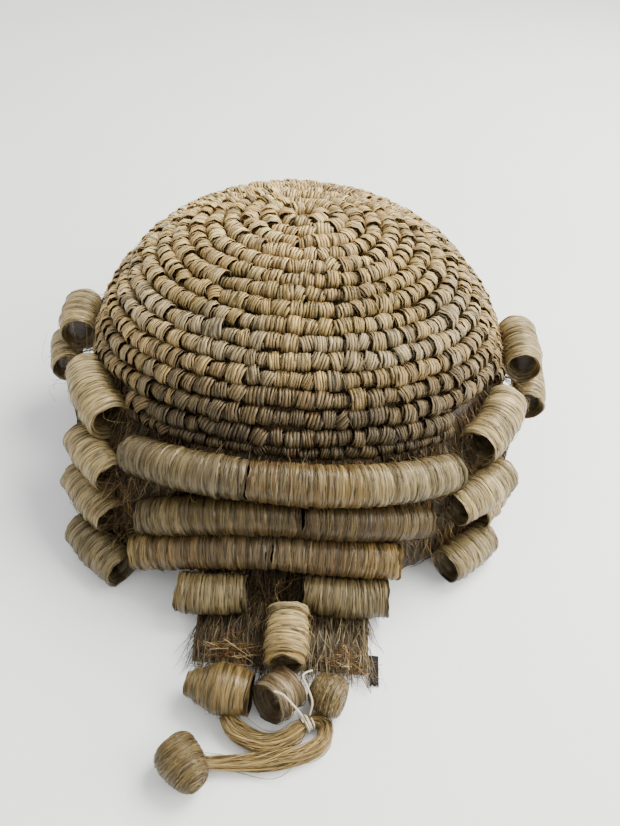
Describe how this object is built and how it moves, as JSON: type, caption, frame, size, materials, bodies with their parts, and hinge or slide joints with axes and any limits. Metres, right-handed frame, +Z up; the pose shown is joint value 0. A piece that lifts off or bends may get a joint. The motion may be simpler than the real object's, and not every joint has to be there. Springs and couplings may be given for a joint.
{
  "type": "barrister wig",
  "caption": "Court wig of pale horsehair lying on a table: a net cap with rows of frizzed hair round a swirl, rolled curls below them at the back and sides, and tied tails behind the nape.",
  "frame": {"origin": "centre of the head opening, on the table that the wig lies on", "axes": "+Z up, +Y towards the brow, +X towards the right side seen from behind"},
  "size_m": [0.2273, 0.2905, 0.1015],
  "materials": {
    "net": "matte open weave",
    "straw_hair": "satin hair",
    "pale_hair": "satin hair",
    "dark_hair": "matte frizzed hair",
    "grey_hair": "matte matted hair",
    "string": "matte twisted",
    "tape": "matte woven tape"
  },
  "bodies": {
    "root": {"foundation_cap": "net", "crown_swirl": "dark_hair", "frizz_row_01": "straw_hair", "frizz_row_02": "straw_hair", "frizz_row_03": "straw_hair", "frizz_row_04": "straw_hair", "frizz_row_05": "straw_hair", "frizz_row_06": "straw_hair", "frizz_row_07": "straw_hair", "frizz_row_08": "straw_hair", "frizz_row_09": "straw_hair", "frizz_row_10": "straw_hair", "frizz_row_11": "straw_hair", "frizz_row_12": "dark_hair", "frizz_row_13": "dark_hair", "frizz_row_14": "dark_hair", "back_row_15": "dark_hair", "back_row_16": "dark_hair", "brow_row_15": "straw_hair", "brow_row_16": "straw_hair", "brow_row_17": "straw_hair", "brow_row_18": "straw_hair", "brow_row_19": "straw_hair", "brow_row_20": "straw_hair", "curl_left_front_upper": "pale_hair", "curl_left_front_lower": "pale_hair", "curl_left_rear_first": "pale_hair", "curl_left_rear_second": "pale_hair", "curl_left_rear_third": "pale_hair", "curl_left_rear_fourth": "pale_hair", "curl_right_front_upper": "pale_hair", "curl_right_front_lower": "pale_hair", "curl_right_rear_first": "pale_hair", "curl_right_rear_second": "pale_hair", "curl_right_rear_third": "pale_hair", "curl_right_rear_fourth": "pale_hair", "back_roll_first_left": "pale_hair", "back_roll_first_right": "pale_hair", "back_roll_second_left": "straw_hair", "back_roll_second_right": "straw_hair", "back_roll_third_left": "straw_hair", "back_roll_third_right": "straw_hair", "nape_flap": "net", "back_roll_fourth_left": "straw_hair", "back_roll_fourth_right": "straw_hair", "nape_hair": "grey_hair", "nape_curl": "pale_hair", "tail_roll": "straw_hair", "tail_ringlet": "straw_hair", "tail_lock": "straw_hair", "tail_knob_left": "straw_hair", "tail_knob_right": "straw_hair", "tie_winding": "string", "tie_end_upper": "string", "tie_end_lower": "string", "tape_end": "tape"}
  },
  "joints": []
}
